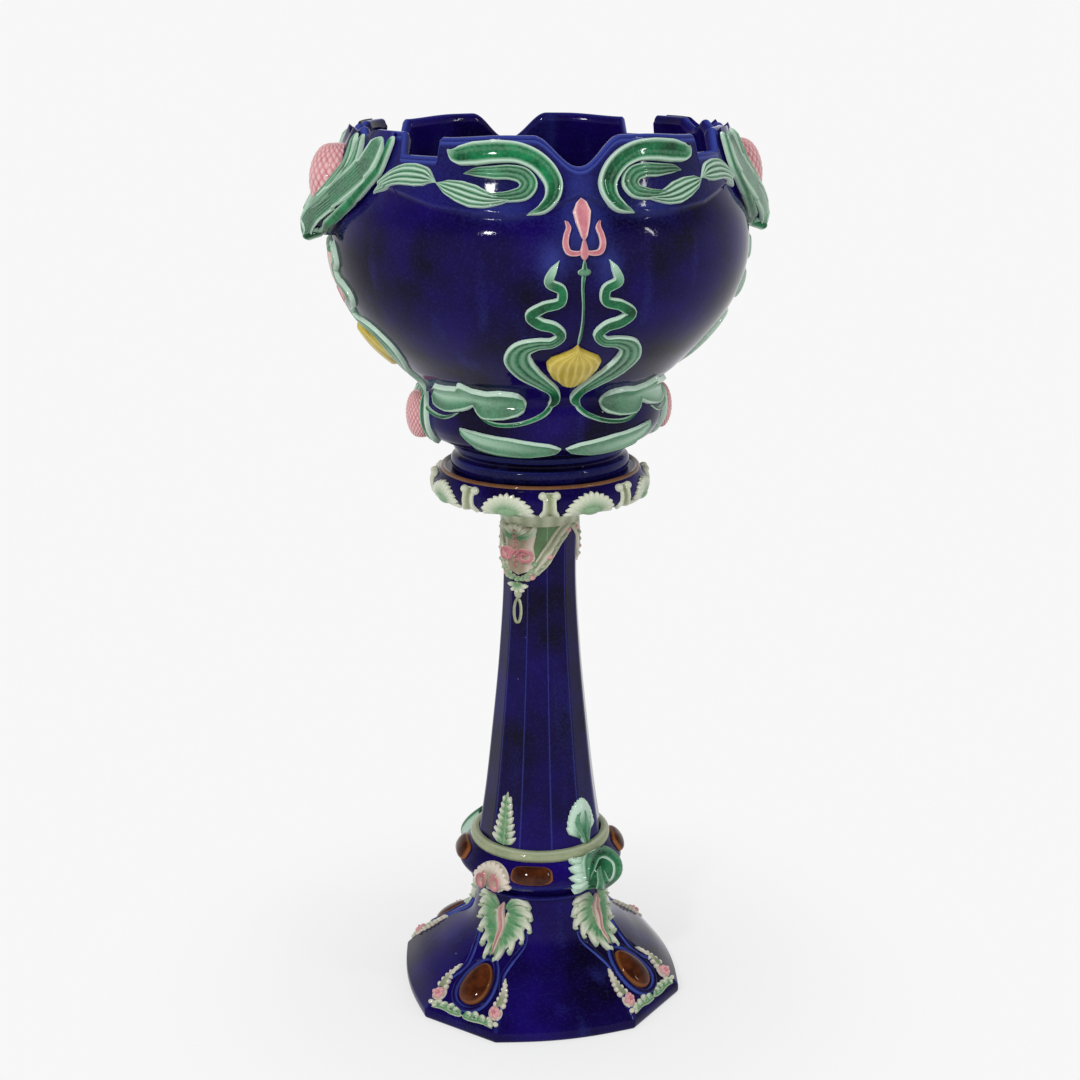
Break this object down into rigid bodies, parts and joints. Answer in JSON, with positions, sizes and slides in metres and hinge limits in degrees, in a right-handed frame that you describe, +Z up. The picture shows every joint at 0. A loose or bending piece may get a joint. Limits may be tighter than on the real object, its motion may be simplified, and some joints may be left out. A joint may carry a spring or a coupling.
{
  "type": "jardiniere on stand",
  "caption": "Round-bellied glazed pottery planter with a lobed rim and fruit handles, resting loose on a hollow twelve-sided pottery stand with a flared foot.",
  "frame": {"origin": "centre of the stand's underside, on the floor", "axes": "+Z up along the axis of both pieces; the plant motif and the middle of the rim's front dip face -Y; the handles are at -X and +X"},
  "size_m": [0.4604, 0.4152, 0.913],
  "materials": {
    "blue_glaze": "high-gloss lead glaze on earthenware",
    "celadon_glaze": "high-gloss lead glaze on earthenware",
    "rim_brown_glaze": "high-gloss lead glaze on earthenware",
    "green_glaze": "high-gloss lead glaze on earthenware",
    "pink_glaze": "high-gloss lead glaze on earthenware",
    "mint_glaze": "high-gloss lead glaze on earthenware",
    "ochre_glaze": "high-gloss lead glaze on earthenware",
    "amber_glaze": "high-gloss lead glaze on earthenware"
  },
  "bodies": {
    "stand": {"ankle_bead": "blue_glaze", "band_bead": "celadon_glaze", "band_knots": "green_glaze", "band_palmettes": "mint_glaze", "band_sprigs": "mint_glaze", "band_stones": "amber_glaze", "capital": "blue_glaze", "capital_acanthus": "mint_glaze", "capital_neck": "celadon_glaze", "capital_tongues": "celadon_glaze", "cartouche_leaves": "mint_glaze", "corner_leaves": "mint_glaze", "flower_sprays": "mint_glaze", "foot_acanthus": "mint_glaze", "foot_edge": "blue_glaze", "foot_flare": "blue_glaze", "foot_stones": "amber_glaze", "knot_band": "blue_glaze", "knot_leaves": "green_glaze", "seat_line": "rim_brown_glaze", "shaft": "blue_glaze", "shaft_cartouches": "mint_glaze", "shaft_drops": "celadon_glaze", "shaft_garlands": "mint_glaze", "stone_frames": "blue_glaze"},
    "jardiniere": {"base_cushion": "blue_glaze", "base_fruit_leaves_left": "green_glaze", "base_fruit_leaves_right": "green_glaze", "base_fruit_left": "pink_glaze", "base_fruit_right": "pink_glaze", "base_leaves_back": "green_glaze", "base_leaves_front": "green_glaze", "belly": "blue_glaze", "bud_stems": "green_glaze", "collar": "blue_glaze", "foot_ring": "blue_glaze", "garland_back_left": "green_glaze", "garland_back_right": "green_glaze", "garland_front_left": "green_glaze", "garland_front_right": "green_glaze", "handle_fruit_left": "pink_glaze", "handle_fruit_right": "pink_glaze", "handle_leaves_left": "green_glaze", "handle_leaves_right": "green_glaze", "handle_left": "blue_glaze", "handle_right": "blue_glaze", "rim_swag_back": "blue_glaze", "rim_swag_front": "blue_glaze", "scroll_leaf_back_left": "green_glaze", "scroll_leaf_back_right": "green_glaze", "scroll_leaf_front_left": "green_glaze", "scroll_leaf_front_right": "green_glaze", "seed_pods": "ochre_glaze", "tendrils_back": "green_glaze", "tendrils_front": "green_glaze", "tendrils_left": "green_glaze", "tendrils_right": "green_glaze", "trident_flowers": "pink_glaze", "waist_leaves": "green_glaze"}
  },
  "joints": [
    {"name": "jardiniere_lift", "type": "slide", "parent": "stand", "child": "jardiniere", "axis": [0, 0, 1], "range_m": [0, 0.1]}
  ]
}
